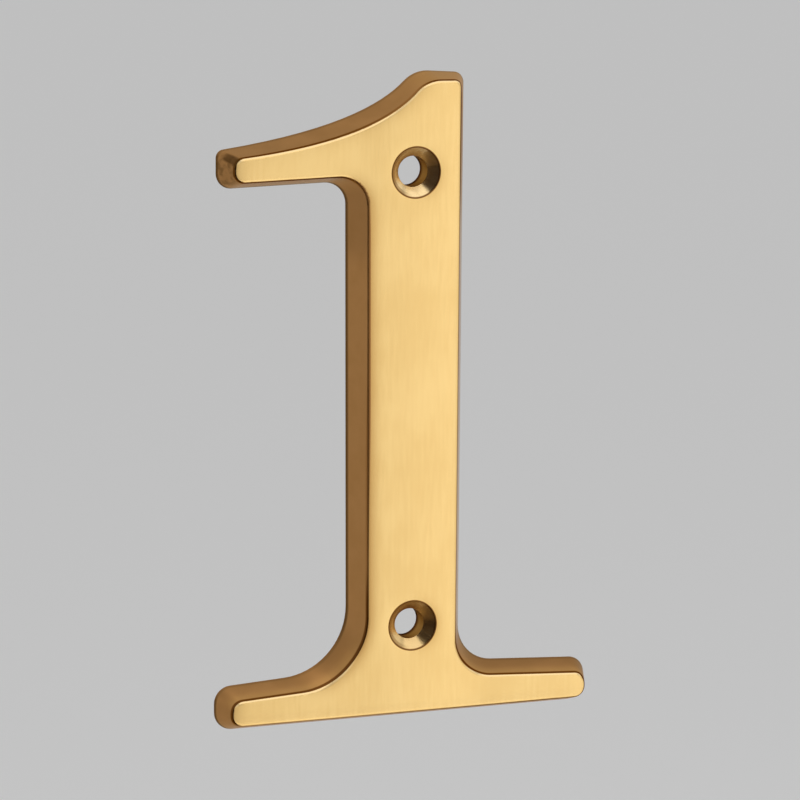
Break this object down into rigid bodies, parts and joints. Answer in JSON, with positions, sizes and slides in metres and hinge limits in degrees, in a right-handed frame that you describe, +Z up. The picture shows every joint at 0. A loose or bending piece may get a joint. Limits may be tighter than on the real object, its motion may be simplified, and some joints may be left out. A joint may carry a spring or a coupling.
{
  "type": "door number",
  "caption": "Solid cast brass door number in the shape of a numeral one, with a flat polished face, tapered side walls, a flat back and countersunk screw holes in the stem.",
  "frame": {"origin": "on the back face, on the stem's centre line, midway between the two screw holes", "axes": "+Z up the stem, -Y out of the face towards the reader, +Y into the door, +X to the reader's right"},
  "size_m": [0.0622, 0.0047, 0.1014],
  "materials": {
    "brass": "polished face, smooth satin side walls"
  },
  "bodies": {
    "root": {"numeral": "brass"}
  },
  "joints": []
}
